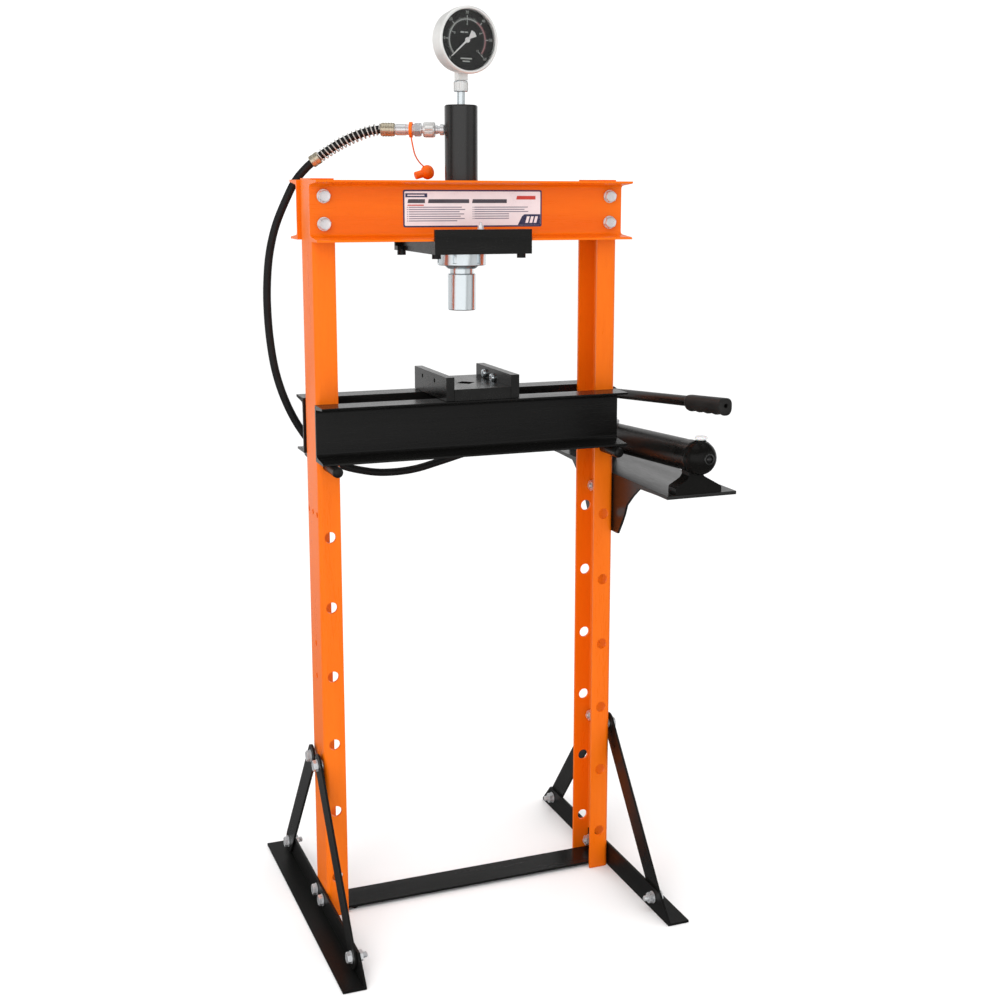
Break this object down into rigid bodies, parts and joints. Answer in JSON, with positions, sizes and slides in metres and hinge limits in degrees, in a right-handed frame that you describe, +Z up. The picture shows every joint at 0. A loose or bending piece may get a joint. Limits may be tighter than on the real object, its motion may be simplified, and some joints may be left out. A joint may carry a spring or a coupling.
{
  "type": "hydraulic shop press",
  "caption": "Floor-standing hydraulic shop press: channel-steel frame, ram with dial gauge, pinned height-adjustable bed and a separate lever hand pump on a side shelf.",
  "frame": {"origin": "centre of the bounding box at floor level, measured without the hose", "axes": "+X towards the pump's side, +Y to the rear, +Z up"},
  "size_m": [0.7195, 0.6286, 1.5531],
  "materials": {
    "orange_paint": "gloss orange powder coat",
    "black_paint": "gloss black paint",
    "dark_steel": "satin black paint",
    "zinc": "bright zinc plate",
    "yellow_zinc": "yellow zinc plate",
    "steel": "stainless steel",
    "chrome": "hard chrome",
    "dial_black": "matte black dial plate",
    "white_plastic": "white plastic",
    "glass": "clear",
    "rubber": "black rubber",
    "orange_plastic": "soft orange plastic"
  },
  "bodies": {
    "frame": {"upright_left": "orange_paint", "upright_right": "orange_paint", "head_beam_front": "orange_paint", "head_beam_rear": "orange_paint", "foot_left": "black_paint", "foot_right": "black_paint", "brace_left_front": "black_paint", "brace_left_rear": "black_paint", "brace_right_front": "black_paint", "brace_right_rear": "black_paint", "base_crossbar": "black_paint", "cylinder_carriage": "black_paint", "cylinder_barrel": "black_paint", "pump_shelf": "black_paint", "pump_tank": "black_paint", "pump_end_cap": "black_paint", "pump_head": "black_paint", "head_bolt_left_upper": "zinc", "head_bolt_left_lower": "zinc", "head_bolt_right_upper": "zinc", "head_bolt_right_lower": "zinc", "foot_bolt_left_front": "zinc", "foot_bolt_left_rear": "zinc", "foot_bolt_right_front": "zinc", "foot_bolt_right_rear": "zinc", "brace_bolt_left_front": "zinc", "brace_bolt_left_rear": "zinc", "brace_bolt_right_front": "zinc", "brace_bolt_right_rear": "zinc", "coupler_body": "zinc", "hose_ferrule": "yellow_zinc", "pump_hose_fitting": "yellow_zinc", "gauge_case": "steel", "gauge_bezel": "steel", "hose_spring_guard": "steel", "cylinder_lock_ring": "chrome", "gauge_stem": "chrome", "gauge_dial": "dial_black", "gauge_glass": "glass", "hose": "rubber", "dust_cap": "orange_plastic"},
    "ram": {"ram_rod": "chrome", "ram_saddle": "chrome"},
    "bed": {"bed_beam_front": "black_paint", "bed_beam_rear": "black_paint", "bed_spacer_left": "black_paint", "bed_spacer_right": "black_paint", "arbor_base_plate": "dark_steel", "arbor_side_left": "dark_steel", "arbor_side_right": "dark_steel"},
    "pin_left": {"bed_pin_left": "black_paint"},
    "pin_right": {"bed_pin_right": "black_paint"},
    "handle": {"handle_lever": "black_paint", "handle_tube": "black_paint", "handle_grip": "rubber"},
    "plunger": {"pump_plunger": "chrome"},
    "release": {"release_knob": "steel"},
    "needle": {"gauge_needle": "white_plastic"},
    "vent": {"vent_plug": "white_plastic"},
    "collar": {"coupler_collar": "steel"}
  },
  "joints": [
    {"name": "ram_slide", "type": "slide", "parent": "frame", "child": "ram", "axis": [0, 0, -1], "range_m": [0, 0.11], "stiffness_N_per_m": 400, "springref_m": -0.2},
    {"name": "bed_lift", "type": "slide", "parent": "frame", "child": "bed", "axis": [0, 0, 1], "range_m": [0, 0.012]},
    {"name": "pin_left_pull", "type": "slide", "parent": "frame", "child": "pin_left", "axis": [0, -1, 0], "range_m": [0, 0.215]},
    {"name": "pin_right_pull", "type": "slide", "parent": "frame", "child": "pin_right", "axis": [0, -1, 0], "range_m": [0, 0.215]},
    {"name": "pump_handle", "type": "hinge", "parent": "frame", "child": "handle", "pos_m": [0.27585, 0.22146, 0.8738], "axis": [-1, 0, 0], "range_deg": [0, 38]},
    {"name": "pump_plunger_slide", "type": "slide", "parent": "frame", "child": "plunger", "axis": [0, 0, 1], "range_m": [0, 0.021]},
    {"name": "release_turn", "type": "hinge", "parent": "frame", "child": "release", "pos_m": [0.30385, 0.19646, 0.784], "axis": [1, 0, 0], "range_deg": [0, 180]},
    {"name": "gauge_needle_turn", "type": "hinge", "parent": "frame", "child": "needle", "pos_m": [-0.04835, 0.03446, 1.4988], "axis": [-0.1478, 0.989, 0], "range_deg": [0, 270], "stiffness_Nm_per_rad": 0.0008, "springref_deg": -17.19},
    {"name": "vent_turn", "type": "hinge", "parent": "frame", "child": "vent", "pos_m": [0.27585, -0.23354, 0.851], "axis": [0, 0, 1], "continuous": true},
    {"name": "collar_turn", "type": "hinge", "parent": "frame", "child": "collar", "pos_m": [-0.09638, 0.05686, 1.355], "axis": [-0.9063, 0.4226, 0], "continuous": true}
  ],
  "couplings": [
    {"joint": "pump_plunger_slide", "follows": "pump_handle", "m_per_rad": 0.03}
  ]
}
